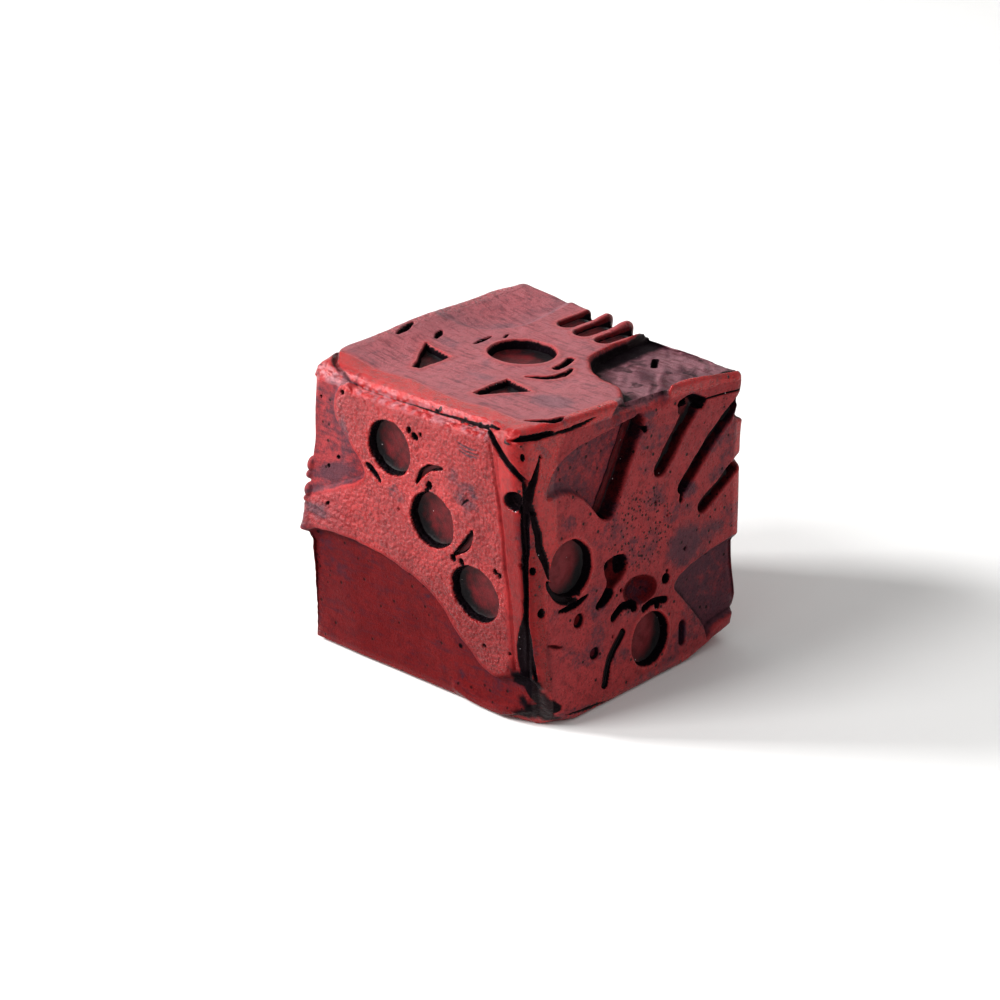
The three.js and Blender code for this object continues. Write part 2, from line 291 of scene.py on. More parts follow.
# Towards which part of each side's recesses the films' black rim is widened: wash gathered there, and painted
# shading on that side of the recess.
POOL_AND_SHADE_TOWARDS = {
    "top": (0.3, 0.95),
    "front": (-0.8, -0.6),
    "right": (0.85, -0.5),
    "back": (0.0, -1.0),
    "left": (0.0, -1.0),
    "bottom": (1.0, 0.0),
}

# The outlines that the paint films share with the casting. Pips: middles, both radii and turn.
PIPS = {
    "top": (((-1.6, 1.35),), 3.1, 2.8, -15),
    "front": (((-2.9, 7.85), (1.95, 2.9), (6.5, -2.1)), 2.65, 2.4, 0),
    "right": (((-7.8, 0.35), (1.05, -8.65)), 2.45, 2.45, 0),
    "back": (((-4.8, -4.8), (4.8, -4.8), (-4.8, 4.4), (4.8, 4.4)), 2.5, 2.5, 0),
    "left": (((-5, 5), (5, 5), (0, 0), (-5, -5), (5, -5)), 2.4, 2.4, 0),
    "bottom": (((-4.6, -6.5), (4.6, -6.5), (-4.6, 0), (4.6, 0), (-4.6, 6.5), (4.6, 6.5)), 2.3, 2.3, 0),
}
# How far the wash on each side's pip floors was rubbed thin, where it was.
PIP_WEAR = {"right": 0.75, "left": 0.75}
# Grooves open at the top's back edge: (u, v) of the blind end, and width.
OPEN_GROOVES = {
    "top": ((-3.5, 8.7, 1.95), (-1.15, 8.25, 2.05), (1.15, 8.15, 1.75)),
    "back": ((3.4, 9.6, 1.75), (1.1, 9.2, 1.8), (-1.1, 9.6, 1.6)),
}
# Finger grooves on the right side: upper end, where its film starts, lower end, width and depth.
RIGHT_GROOVES = (
    ((0.4, 10.3), (0.4, 10.2), (-3.3, 3.8), 1.25, 1.5),
    ((6.5, 10.2), (6.5, 10.2), (2.8, 5.8), 1.3, 1.1),
    ((14.0, 11.8), (10.8, 8.74), (5.5, 3.6), 1.15, 1.1),
    ((14.0, 5.1), (10.8, 3.05), (7.9, 1.2), 1.15, 1.0),
)
TOP_WEDGES = (
    ((-8.75, -2.95), (-5.05, -3.55), (-5.25, -6.9), (-5.9, -7.1)),
    ((2.25, -4.0), (5.7, -4.7), (3.5, -8.1), (2.7, -8.1)),
)
TOP_CRESCENT = ((4.1, 1.4), (4.55, -0.1), (4.2, -1.4), (2.9, -2.4))
LOWER_FRONT_ARC = ((4.5, 0.7), (5.5, 1.5), (6.2, 2.4), (6.6, 3.2))
UPPER_FRONT_ARC = ((0.3, 5.7), (0.9, 6.6), (2.0, 7.3), (3.3, 7.6))
RIGHT_ARC = ((-4.6, -10.7), (-4.15, -9.3), (-3.4, -8.1), (-2.3, -7.0))
BACK_ARC = ((-1.6, -1.2), (0.0, -0.2), (1.6, -1.1))
LEFT_ARC = ((-9.4, 3.2), (-9.9, 0.0), (-9.2, -3.1))
# Films in tool strokes: side, number on it, line, width and taper.
LINE_FILMS = (
    ("top", 1, TOP_CRESCENT, 0.6, 0.35),
    ("front", 1, UPPER_FRONT_ARC, 0.42, 0.5),
    ("front", 2, LOWER_FRONT_ARC, 0.42, 0.5),
    ("right", 1, RIGHT_ARC, 0.5, 1.0),
    ("back", 1, BACK_ARC, 0.6, 0.5),
    ("left", 1, LEFT_ARC, 0.6, 0.5),
)


def relief_top(r):
    hollow = r.patch([
        (2.3, 16), (2.3, 9.5), (2.5, 6.2), (3.2, 4.3), (4.8, 2.7), (6.5, 1.7), (8.0, 1.15), (9.6, 0.85),
        (10.7, 0.2), (11.8, -0.9), (14.5, -3.2), (15.5, 0.5), (14.2, 3.6), (12.6, 4.2), (12.1, 6), (12.0, 16),
    ])
    shoulder = r.patch([
        (-17, 1.0), (-12.5, 1.0), (-10.5, 1.4), (-8.6, 2.0), (-7.3, 3.1), (-6.3, 4.6), (-5.7, 6.4),
        (-5.9, 9), (-6.3, 13), (-6.5, 17), (-17, 17),
    ])
    r.sink_ground(shoulder, 0.3 * ease((r.u + 13) / 5), wall=0.9, haze=0.85, spread=1.3, shade=0.0)
    across = 0.77 * r.u + 0.64 * r.v + 0.5 * r.noise(2.5, 31)
    along = 0.2 * (0.77 * r.v - 0.64 * r.u)
    strands = noise(np.column_stack([across, along, np.full(len(across), 3.0)]), 0.45, 34)
    ridges = 0.07 * strands * ease((r.u - 4.5) / 2)
    shallower_at_back = 0.3 * ease((r.v - 6) / 6)
    floor = 1.0 - 0.02 * (r.u - 2.5) - shallower_at_back + ridges + 0.06 * r.noise(0.8, 32)
    r.sink_ground(hollow, floor, wall=0.4, haze=1.35, spread=9.0)
    # Black over the hollow's left end and along its rim, but for the back: wash with painted shading.
    below_rim = ease((-hollow - 0.05) / 0.2)
    r.more("soot", ease((5.4 - r.u) / 2.0) * below_rim)
    r.more("soot", 0.7 * below_rim * ease((hollow + 1.6) / 1.3) * ease((8 - r.v) / 3))
    on_floor = ease(-hollow / 0.5)
    r.more("brush", on_floor)
    drift = ease(0.65 + 0.5 * r.noise(1.6, 38) + 0.45 * strands)
    r.more("dust", 0.75 * on_floor * (1 - r.soot) * drift)
    # A pale veil over the top: a dusting, with a painted reflection of the pale surroundings.
    r.more("dust", 0.5 * ease(hollow / 0.4))
    r.cut([(5.9, 9.2), (6.8, 8.1)], 0.7, 1.6)

    r.cut_open_grooves("top")
    for u, v, _ in OPEN_GROOVES["top"]:
        ridge = r.stroke([(u + 1.2, HALF + 2), (u + 1.2, v + 1.5)], 0.9)
        r.more("rise", 0.35 * ease(-ridge / 0.35) * ease((r.v - v - 1) / 3))
        r.more("polish", 0.5 * ease(-ridge / 0.3))
    r.cut_pips("top")
    for corners in TOP_WEDGES:
        r.dig(r.polygon(corners) - 0.12, WEDGE_DEPTH, lip=0.05)
    r.cut(TOP_CRESCENT, 1.0, LINE_DEPTH, taper=0.4, lip=0.05)
    r.cut([(2.4, 2.9), (2.9, 1.7), (3.1, 0.6)], 0.8, 0.55, lip=0.04)
    r.cut([(-6.2, 2.2), (-5.95, 0.0)], 0.6, 0.4, taper=0.6, soot=0.8, black_from=0.05)
    r.cut([(-5.4, 3.4), (-5.1, 2.8)], 0.4, 0.3, soot=0.8)
    r.cut([(-9.6, -0.4), (-9.0, -1.6)], 0.7, 0.45, taper=0.6)
    r.cut([(-11.8, -1.7), (-11.3, -3.9)], 0.75, 0.5, taper=0.6)
    corner_fold = [(-13.6, -8.2), (-12.2, -9.6), (-10.4, -11.3), (-8.6, -12.1)]
    r.cut(corner_fold, 0.7, 0.3, taper=0.7, wall=0.35, soot=0.35)
    r.cut([(11.8, -7.1), (11.9, -8.3), (10.5, -9.6)], 1.0, 0.6, taper=0.4, lip=0.04)
    seam = [(-9.0, -12.2), (-6, -12.6), (-2, -12.5), (2, -12.35), (6, -12.1), (9.8, -12.1)]
    along_seam = ease((r.u + 5) / 8)
    r.cut(seam, 0.5, 0.3, wall=0.2, black_from=0.0, soot=0.25 + 0.7 * along_seam)
    r.more("rise", 0.16 * np.exp(-((r.stroke([(-9, -11.8), (9, -11.6)], 0.3) / 0.3) ** 2)))
    r.wrinkle(ease((-11.3 - r.v) / 0.4), 0.3, 0.14, along_seam, seed=36)

    # Wear and wash.
    r.pit((2.2, -12.1, 0.3), (6.6, -12.2, 0.35), (7.4, -12.1, 0.4), (8.3, -12.0, 0.35))
    r.smudge((8.6, -5.2, 2.0, 1.4, 0.95), (0.3, -4.9, 2.2, 0.9, 0.6), (-1.8, -2.6, 2.0, 0.7, 0.5, -25),
             (-7.6, -1.4, 1.6, 0.8, 0.6), (-6.0, 0.9, 0.9, 0.9, 0.5), (-7.2, 12.7, 1.3, 0.7, 1.0),
             (-7.5, 5.0, 1.8, 0.8, 0.65, 50), (6.5, -2.2, 0.7, 0.7, 0.5))
    front_band = ease((-9.2 - 0.04 * r.u - r.v + 0.5 * r.noise(2.2, 33)) / 0.8)
    right_band = ease((r.u - 11.4) / 0.5) * ease((0.2 - r.v) / 1.5)
    rim = ease((r.u - 11.9) / 0.4) * ease((r.v - 3.6) / 0.6)
    r.more("polish", np.maximum.reduce([front_band, right_band, rim]))
    r.more("polish", ease((-9.3 - r.v) / 0.6) * ease((-9.3 - r.u) / 0.6))
    r.dust *= r.bare()
    r.more("haze", (0.22 + 0.2 * r.noise(2.2, 39)) * (1 - r.polish))
    # Patchy black in the hollow and a ragged black band just inside its rim: wash with painted shading.
    r.more("soot", 0.55 * ease(-hollow / 0.8) * ease((r.noise(0.9, 35) - 0.25) / 0.4))
    r.more("soot", 0.8 * ease(-hollow / 0.3) * ease(hollow + 1.4 + 0.8 * r.noise(1.2, 40)))
    r.more("brush", 0.7)
    r.brush *= 1 - 0.85 * r.polish
    r.more("pores", 0.1)


def relief_front(r):
    plate = r.patch([
        (-7.4, 17), (-7.3, 12.9), (-8.7, 11.6), (-9.4, 10.3), (-9.4, 9.0), (-8.7, 7.9), (-7.4, 6.8),
        (-6.2, 5.6), (-5.8, 4.6), (-6.7, 3.7), (-8.6, 2.7), (-11, 1.7), (-13.5, 0.8), (-17, 0.2),
        (-17, -2.6), (-13, -2.0), (-10, -1.3), (-6, -1.4), (-2, -2.1), (1.2, -3.2), (2.9, -4.5),
        (4.3, -6.2), (5.6, -7.2), (6.9, -8.3), (8.3, -8.7), (9.6, -8.1), (11.5, -7.6), (17, -7.6), (17, 17),
    ])
    r.pebble = ease(-plate / 0.4) * ease((10.0 - r.u) / 0.5)
    upper_floor = np.clip(0.75 + 0.1 * (r.u + 6), 0.1, 0.75)
    lower_floor = np.clip(0.75 + 0.04 * (r.v + 4), 0.4, 0.75)
    upper = ease(r.v + 1.0)
    floor = lower_floor + (upper_floor - lower_floor) * upper
    # Painted shadow: the lower ground painted deeply shaded, and the whole side darker towards the bottom.
    r.sink_ground(-plate, floor, wall=0.5, haze=0.45 + 0.4 * upper, spread=1.6, shade=0.9 - 0.9 * upper)
    r.more("shade", 0.55 * ease((2.5 - r.v) / 8))
    # A little paler towards the left.
    r.more("dust", 0.1 * ease((-7 - r.u) / 2))

    # Pips, strokes and the seams along the right and the lower edge.
    r.cut_pips("front")
    r.cut(UPPER_FRONT_ARC, 0.75, 0.65, taper=0.5, lip=0.07)
    r.cut(LOWER_FRONT_ARC, 0.9, 0.65, taper=0.5, lip=0.07)
    r.cut([(-5.6, 5.7), (-4.9, 5.3), (-4.1, 4.7)], 0.75, 0.5, taper=0.6, lip=0.05)
    crease = [(8.7, 12.2), (9.3, 10.8), (9.8, 8), (10.1, 5), (10.1, 1), (10.4, -3), (10.3, -7.5)]
    r.cut(crease, 0.5, 0.14, wall=0.25, soot=0.12, black_from=0.0, shade=0.5)
    fold = [(8.6, 12.6), (9.8, 11.5), (10.7, 10.5), (11.6, 9.7), (13.8, 8.3)]
    r.cut(fold, 0.8, 0.45, taper=0.7, black_from=0.0)
    seam = [(13.1, 8.4), (12.9, 6.5), (12.6, 4), (12.3, 1.5),
            (12.1, -1), (11.9, -3), (11.6, -6), (11.3, -8.5)]
    r.cut(seam, 0.75, 0.5, black_from=0.0)
    r.cut([(11.9, -2.5), (11.6, -5.5), (11.4, -9.0)], 1.9, 0.3, taper=0.3, wall=0.5, black_from=0.0)
    # Black spreading from the lower right corner, with painted shading round it.
    pool = r.patch([(10.6, -7.2), (12.2, -7.2), (13.6, -8.4), (13.8, -10.4), (12.4, -10.2), (10.8, -9.4),
                    (9.2, -9.3), (8.6, -9.0), (9.6, -8.3)])
    r.more("soot", 0.9 * ease((0.1 - pool + 0.9 * r.noise(0.9, 41)) / 0.9))
    r.more("shade", 0.9 * ease((1.6 - pool + 1.2 * r.noise(1.5, 42)) / 1.5))
    bead = r.stroke([(3.5, -11.4), (6.5, -12.1), (9.5, -11.6)], 0.3)
    r.more("rise", 0.25 * np.exp(-((bead / 0.4) ** 2)))
    r.more("soot", 0.9 * ease(-r.stroke([(4, -12.4), (7, -12.9), (11, -12.4)], 0.5) / 0.15))

    # The bevel over the plate, the strip beside it and the left shoulder, all handled smooth.
    bevel = ease((r.v - 11.1) / 0.3) * ease((9.3 - r.u) / 0.5) * ease(r.u + 9)
    strip = ease((r.u - 10.1) / 0.3) * ease((r.v + 8) / 1.5)
    shoulder = ease((r.v - 11.0) / 0.5) * ease((-8.4 - r.u) / 0.8)
    r.more("polish", np.maximum.reduce([bevel, strip, shoulder]))
    # Painted shading: the strip darker towards the bottom. The plate is painted darker towards the right.
    r.more("shade", 0.75 * strip * ease((9 - r.v) / 4))
    r.more("shade", 0.3 * ease((r.u - 4) / 4))
    r.wrinkle(ease((r.v - 11.2) / 0.4), 0.35, 0.16, ease((r.u - 1) / 6), seed=45)
    ribs = ease((-6.0 - r.u) / 2.5) * ease(-plate / 0.5) * ease((2.6 - r.v) / 0.8)
    r.more("rise", 0.07 * ribs * (1 + np.sin(9.0 * r.v + 1.5 * r.u + r.noise(2.0, 43))))
    r.blacken_lower_corner(HALF, 3.4, seed=44)
    r.dust *= r.bare()
    bevel_slope = 0.75 * np.clip(r.v - 11.05, 0, 0.85) * ease((9.0 - r.u) / 0.6) * ease((r.u + 8.4) / 0.8)
    r.more("depth", bevel_slope)

    # Scratches, pores, wash, and a painted highlight on the bevel and shoulder.
    for lift in (-0.3, 0.0, 0.35):
        scratch = r.stroke([(4.8, 10.2 + lift), (6.4, 9.8 + lift), (8.6, 9.9 + lift)], 0.3, taper=0.2)
        r.dig(scratch, 0.08, wall=0.15, soot=0.0, shade=0.0)
        r.more("haze", 1.2 * ease(-scratch / 0.12))
    # Pale patches on the bevel and shoulder: a painted highlight, with some rubbed wear.
    r.more("dust", 0.6 * np.maximum(bevel, shoulder) * ease(0.5 + r.noise(0.4, 47)))
    r.more("rise", 0.07 * ease(-r.stroke([(5.3, 5.2), (6.2, 6.4), (6.9, 6.9)], 0.3) / 0.15))
    r.cut([(5.5, 5.0), (6.1, 5.6), (6.5, 5.7)], 0.4, 0.2, taper=0.4, soot=0.7)
    r.smudge((6.2, 5.9, 1.3, 1.6, 0.6, -30), (-2.2, 4.2, 1.2, 0.8, 0.45), (-9.5, 3.9, 2.6, 0.9, 1.0, 20),
             (-8.6, 7.0, 0.8, 2.0, 0.7), (4.6, 7.2, 0.9, 0.9, 0.45), (-11, 0.2, 1.6, 0.8, 0.8))
    r.dig(r.oval(11.6, 7.0, 1.15, 0.85, turn=15), 0.8, black_from=0.0)
    r.pit((-0.35, 9.9, 0.34), (0.25, 9.5, 0.4), (0.9, 9.8, 0.22), (1.75, 5.75, 0.42),
          (1.5, 5.2, 0.35), (4.3, 0.3, 0.4), (5.2, 0.2, 0.36), (8.9, 0.5, 0.28), (9.3, 0.25, 0.25),
          (-8.6, 11.1, 0.26), (-9.4, 5.2, 0.24), (-10.4, 4.3, 0.2), (-2.0, 2.8, 0.15), (-9.7, 1.1, 0.24),
          (-11.3, 9.9, 0.16), (9.9, -6.2, 0.2), (7.2, -6.4, 0.22), (11.9, 1.5, 0.22), (3.9, -7.6, 0.25))
    clouds = ease((r.noise(2.0, 48) - 0.1) / 0.4) + ease((r.noise(0.7, 49) - 0.3) / 0.4)
    r.more("haze", 0.25 * clouds * ease(plate / 0.5) * (1 - upper))
    r.more("brush", 0.5 * ease(plate / 0.5))
    r.more("pores", 0.12 + 0.25 * ease(plate / 0.5))


def relief_right(r):
    right_grounds(r)
    right_strokes(r)
    right_flaws(r)
    right_edges(r)
    right_wear(r)


def right_grounds(r):
    upper = r.patch([
        (-9.9, 6.5), (-9.2, 8.4), (-7.2, 9.8), (-4, 10.4), (-1, 10.9), (0.6, 10.9), (1.1, 10.3),
        (-0.6, 7.2), (-2.5, 4.0), (-3.4, 3.1), (-4.1, 3.3), (-5.4, 4.9), (-6.6, 5.9), (-8.2, 6.5),
    ])
    floor = np.clip(0.3 + 0.11 * (r.u + 9.5) + 0.05 * (9.5 - r.v), 0.2, 1.1)
    r.sink_ground(upper, floor, wall=0.5, haze=0.7, spread=4.0, shade=0.1)
    # Black along the inside of the upper ground's edge, low down: wash with painted shading.
    r.more("soot", 0.6 * ease((-upper - 0.05) / 0.2) * ease((upper + 0.9) / 0.8) * ease((5.8 - r.v) / 1.2))
    lower = r.patch([
        (4.2, -5.2), (4.7, -4.3), (5.9, -3.7), (8.5, -3.0), (12, -2.6), (17, -2.4), (17, -10.2),
        (12.4, -10.0), (9.5, -10.5), (8.4, -11.3), (7.9, -9.9), (6.8, -8.4), (5.3, -6.6),
    ])
    gentle_above = 0.4 + 0.5 * ease((r.v + 4.5) / 1.5)
    r.sink_ground(lower, 0.72 - 0.01 * (r.u - 5), wall=gentle_above, haze=1.0, spread=6.0)
    # Black along the inside of the lower ground's edge: wash with painted shading.
    r.more("soot", 0.55 * ease((-lower - 0.1) / 0.3) * ease(lower + 1.2))
    chamfer = r.polygon([(2.5, -13.4), (12.6, -10.2), (17, -9.6), (17, -17), (2.5, -17)])
    r.more("depth", 0.75 * np.clip(-chamfer, 0, 3))


def right_strokes(r):
    for start, _, end, width, depth in RIGHT_GROOVES:
        r.cut([start, end], width + 0.3, depth, wall=0.4, soot=0.58, black_from=0.04)
    r.dig(r.oval(-3.45, 3.55, 0.45), 1.75)
    r.cut([(5.2, 10.7), (6.4, 10.95), (7.7, 10.5)], 0.75, 0.8)
    r.dig(r.oval(5.35, 10.2, 0.5), 0.9, soot=0.7)
    r.dig(r.oval(7.35, 10.2, 0.5), 0.9)
    r.cut([(5.6, 3.8), (5.2, 2.4)], 0.6, 0.5, soot=0.7)
    r.cut_pips("right")
    r.cut([(-3.3, -5.25), (-2.2, -4.7), (-0.9, -4.9)], 0.85, 0.6, soot=0.9)
    r.cut([(0.4, -5.7), (1.7, -5.5), (3.1, -5.8)], 0.75, 0.5, black_from=0.05)
    r.cut(RIGHT_ARC, 0.95, LINE_DEPTH)
    r.cut([(5.2, -8.8), (5.2, -10.4)], 1.0, 0.35, wall=0.45, soot=0.55, black_from=0.1)
    r.cut([(-9.3, -2.8), (-7.7, -2.85), (-6.2, -2.45)], 0.75, 0.45, taper=0.6, black_from=0.05)
    r.cut([(-10.9, -5.2), (-9.4, -5.8)], 0.5, 0.25, taper=0.6, soot=0.45, black_from=0.0)


def right_flaws(r):
    """The first pip's broken rim, the broken pit, the smooth bowl and the two small rings."""
    broken_rim = r.patch([(-10.6, 0.2), (-10.6, -0.7), (-9.6, -2.0), (-8.0, -2.7), (-7.2, -2.3),
                          (-8.4, -1.7), (-9.7, -0.4)])
    r.dig(broken_rim, 0.45, wall=0.25, black_from=0.0)
    r.more("polish", ease(-broken_rim / 0.2))
    broken_pit = r.patch([
        (-4.0, -0.4), (-2.8, -0.1), (-1.5, -0.3), (-1.2, -1.2), (-1.8, -2.2), (-2.9, -2.8), (-3.7, -3.8),
        (-4.8, -4.1), (-5.2, -3.6), (-4.5, -2.9), (-3.9, -2.1), (-4.1, -1.2),
    ])
    r.dig(broken_pit, 0.6, soot=0.45, black_from=0.0)
    r.dig(r.oval(-1.9, -1.1, 0.6, 0.95, turn=-15), 0.95)
    r.dig(r.oval(-3.4, -0.9, 0.45, 0.4), 0.85, wall=0.25, soot=0.8)
    r.cut([(-3.3, -3.1), (-4.1, -3.5), (-4.9, -3.8)], 0.85, 0.9, taper=0.8)
    r.dig(r.oval(0.0, -3.9, 2.2, 1.35, turn=-12), 0.55, wall=1.1, soot=0.4, black_from=0.2)
    r.more("haze", 0.45 * ease(-r.oval(0.0, -3.9, 2.0, 1.2, turn=-12) / 0.8))
    r.raise_blob(-0.7, -3.6, 0.6, 0.25)
    for u, v in ((-7.2, -4.3), (-5.6, -7.6)):
        ring = np.abs(r.oval(u, v, 0.45)) - 0.14
        r.dig(r.oval(u, v, 0.65), 0.35, soot=0.2)
        r.more("soot", 0.85 * ease(-ring / 0.1))


def right_edges(r):
    flame = [(-10.2, 10.3), (-10.9, 8.6), (-11.7, 7.0), (-12.3, 5.2), (-12.6, 3), (-12.9, 0), (-13.1, -4)]
    beside_flame = [(-11.6, 7.6), (-11.2, 5), (-11, 3), (-10.5, 1.6), (-10.3, 0.3)]
    for line, width, depth, taper, wall in (
        ([(8.1, 10.6), (9.8, 10.5), (11.6, 10.55)], 0.2, 0.2, 1.0, 0.1),
        ([(-13.6, 12.6), (-11, 12.05), (-8.8, 11.7)], 0.85, 0.5, 0.6, 0.3),
        ([(-9.6, 11.65), (-6.5, 11.65), (-4.1, 11.95)], 0.4, 0.3, 0.3, 0.15),
        (flame, 1.3, 0.5, 0.15, 0.35),
        (beside_flame, 0.95, 0.4, 0.4, 0.25),
        ([(-13.2, -3.0), (-13.0, -5.5), (-12.4, -7.8)], 1.1, 0.3, 0.5, 0.3),
        ([(-9.4, -11.7), (-6, -12.15), (-3.2, -12.5)], 0.35, 0.25, 0.4, 0.15),
    ):
        r.cut(line, width, depth, taper, wall=wall, black_from=0.0)
    # Ragged black at the foot of the side's left edge.
    foot = r.patch([(-14.5, -8), (-12.8, -8.6), (-11.2, -9.6), (-9.6, -10.8), (-9.8, -11.4), (-12, -11),
                    (-14.5, -10.8)])
    r.more("soot", 0.9 * ease((0.1 - foot + 0.9 * r.noise(0.8, 52)) / 0.9))
    r.pit((3.2, -3.95, 0.55), (3.4, -3.3, 0.2), (-0.7, -5.2, 0.5), (2.1, -5.95, 0.4), (1.1, 9.6, 0.34),
          (-11.9, 10.5, 0.34), (-11.2, 5.8, 0.3), (-11.9, 1.3, 0.42), (-11.3, -2.3, 0.42),
          (-2.2, -3.25, 0.22), (5.7, -1.9, 0.16), (-3.4, -6.8, 0.16), (-13.3, 1.8, 0.2), (9.0, -3.7, 0.14),
          (-10.2, 10.2, 0.2), (-12.6, 6.4, 0.45), (-12.7, 2.4, 0.35), (-13.0, -1.2, 0.4),
          (-7.1, -1.9, 0.25), (5.6, -2.0, 0.2), (3.6, 1.6, 0.15), (2.2, 3.1, 0.16))


def right_wear(r):
    clouds = ease((r.noise(2.3, 56) - 0.05) / 0.5) * (1 - r.polish)
    r.more("haze", 0.5 * clouds)
    strip_heights = [-11, -6, -2, 0, 2, 6, 10, 12.5]
    edge_of_strip = np.interp(r.v, strip_heights, [-10.6, -11, -10.4, -10.3, -8.9, -8.6, -8.2, -6.5])
    r.more("polish", ease((edge_of_strip - r.u + 0.2 * r.noise(0.9, 53)) / 0.35))
    open_end = ease((r.v - 11.5) / 0.4) * ease((r.u + 1.9) / 0.5) * ease((4.0 - r.u) / 0.5)
    r.more("polish", 0.8 * ease((r.v - 11.2) / 0.4) * (1 - open_end))
    r.more("haze", 1.1 * open_end)
    r.smudge((2.0, 3.6, 1.7, 1.2, 0.6), (1.4, 6.3, 1.3, 0.8, 0.5), (5.6, -1.6, 2.2, 1.9, 0.95),
             (10.3, 6.4, 1.4, 0.8, 0.6), (9.6, 3.7, 1.6, 0.7, 0.6), (1.6, 0.0, 1.2, 0.8, 0.55),
             (2.2, 8.2, 0.9, 0.5, 0.5), (1.7, 10.7, 0.9, 0.4, 0.8), (-2.6, -8.8, 2.2, 0.7, 0.5),
             (-8.6, -6.5, 1.3, 0.8, 0.4), (8.8, -1.2, 2.4, 1.0, 0.7), (6.2, 3.0, 1.0, 0.8, 0.8),
             (-3.2, 11.2, 1.3, 0.5, 0.6), (-8.6, 7.0, 1.3, 0.6, 0.9), (5.2, -9.6, 0.7, 1.1, 0.8))
    r.more("dust", 0.09 * r.bare())
    # Painted shading: the strip along the left edge darker towards the bottom.
    r.more("shade", 0.55 * ease((-10.3 - r.u + 0.5 * r.noise(1.5, 55)) / 0.8) * ease((9 - r.v) / 4))
    r.blacken_lower_corner(-HALF, 3.2, seed=54)
    density = np.exp(-((r.u - 0.3) / 5.0) ** 2 - ((r.v - 1.2) / 4.2) ** 2)
    r.more("pores", np.maximum(density, 0.45))


def relief_back(r):
    hollow = r.patch([(-17, 17), (-1.4, 17), (-1.9, 10), (-5, 8), (-9.5, 7.7), (-17, 8.5)])
    floor = np.clip(0.75 - 0.1 * (r.v - 8), 0.3, 0.75) + 0.05 * r.noise(0.8, 61)
    r.sink_ground(hollow, floor, wall=0.5, haze=0.95, spread=4.0)
    r.more("brush", ease(-hollow / 0.5))
    r.cut_open_grooves("back")
    r.cut_pips("back")
    r.cut(BACK_ARC, 0.85, LINE_DEPTH, taper=0.5, lip=0.05)
    r.dig(r.polygon([(-1.9, -7.6), (1.5, -7.9), (0, -10.6)]) - 0.12, 0.7, lip=0.05)
    foot = r.patch([(-17, -17), (-17, -8.8), (-11.6, -9.2), (-8.2, -11.0), (-7.6, -17)])
    r.sink_ground(foot, 0.55, wall=0.5, haze=0.8, spread=2.0)
    r.pit((9.1, 0.4, 0.42), (-8.9, 0.8, 0.36), (8.0, 9.6, 0.25), (-0.4, 3.2, 0.22), (9.8, -8.9, 0.3))
    r.smudge((0.5, 2.8, 2.4, 1.2, 0.6), (8.8, -1.6, 1.8, 1.0, 0.6), (-7.8, -0.6, 1.9, 1.0, 0.7))
    r.more("polish", ease((np.abs(r.u) - 11.2 + 0.3 * r.noise(1.4, 62)) / 0.6))
    r.more("pores", 0.3)


def relief_left(r):
    ground = r.patch([(4.8, 17), (17, 17), (17, -2.4), (12, -1.4), (9.6, 1.8), (8.8, 5.5), (8.0, 9.5)])
    floor = np.clip(0.7 - 0.14 * (r.u - 9), 0.1, 0.7) * ease((12.0 - r.v) / 3)
    r.sink_ground(ground, floor, wall=0.5, haze=0.8, spread=2.0)
    arm_end = r.stroke([(12.2, 0.2), (12.8, -2.2)], 2.4)
    r.more("rise", 0.45 * ease(-arm_end / 1.2))
    for u, v, size in ((12.3, 4.0, 0.7), (12.4, 3.1, 0.45), (12.4, 1.7, 0.7), (12.5, 0.9, 0.4)):
        r.raise_blob(u, v, size, 0.5)
    r.pebble = ease(ground / 0.4) * 0.6
    r.cut_pips("left")
    r.cut(LEFT_ARC, 0.85, LINE_DEPTH, taper=0.5, lip=0.05)
    r.cut([(-1.8, -8.6), (0, -9.2), (2, -8.7)], 0.7, 0.55, lip=0.05)
    r.dig(r.polygon([(-1.5, 8.6), (1.6, 8.4), (0.2, 5.6)]) - 0.1, 0.7, lip=0.05)
    r.cut([(9.2, -3.4), (10.2, -5.2), (10.0, -7.0)], 0.8, 0.55, taper=0.5, lip=0.05)
    r.pit((9.4, -8.6, 0.42), (-8.7, 8.9, 0.36), (-2.6, 3.2, 0.2), (8.2, 2.8, 0.28), (-9.6, -9.4, 0.3))
    r.smudge((0.4, 2.9, 2.2, 0.8, 0.5), (-8.0, 0.2, 1.3, 2.2, 0.6), (6.8, -8.6, 1.9, 1.1, 0.6))
    r.more("polish", ease((np.abs(r.v) - 10.9 + 0.3 * r.noise(1.4, 72)) / 0.6))
    r.more("pores", 0.25)


def relief_bottom(r):
    r.cut_pips("bottom")
    r.cut([(-0.9, 2.9), (0.9, 3.6)], 0.7, 0.5)
    r.cut([(-0.9, -3.6), (0.9, -2.9)], 0.7, 0.5)
    r.pit((8.8, 9.0, 0.42), (-8.9, -8.7, 0.36), (0.3, 8.1, 0.25), (9.4, -3.3, 0.3))
    r.smudge((0.0, 0.0, 1.6, 1.2, 0.6), (8.6, 3.4, 1.6, 2.4, 0.6), (-8.9, 3.0, 1.2, 2.0, 0.5))
    worn = ease((np.maximum(np.abs(r.u), np.abs(r.v)) - 10.4 + 0.4 * r.noise(1.6, 82)) / 0.8)
    r.more("polish", 0.8 * worn)
    r.more("pores", 0.3)
    r.more("brush", 0.6)


RELIEFS = (relief_top, relief_front, relief_right, relief_back, relief_left, relief_bottom)

# ------------ the shape of the block


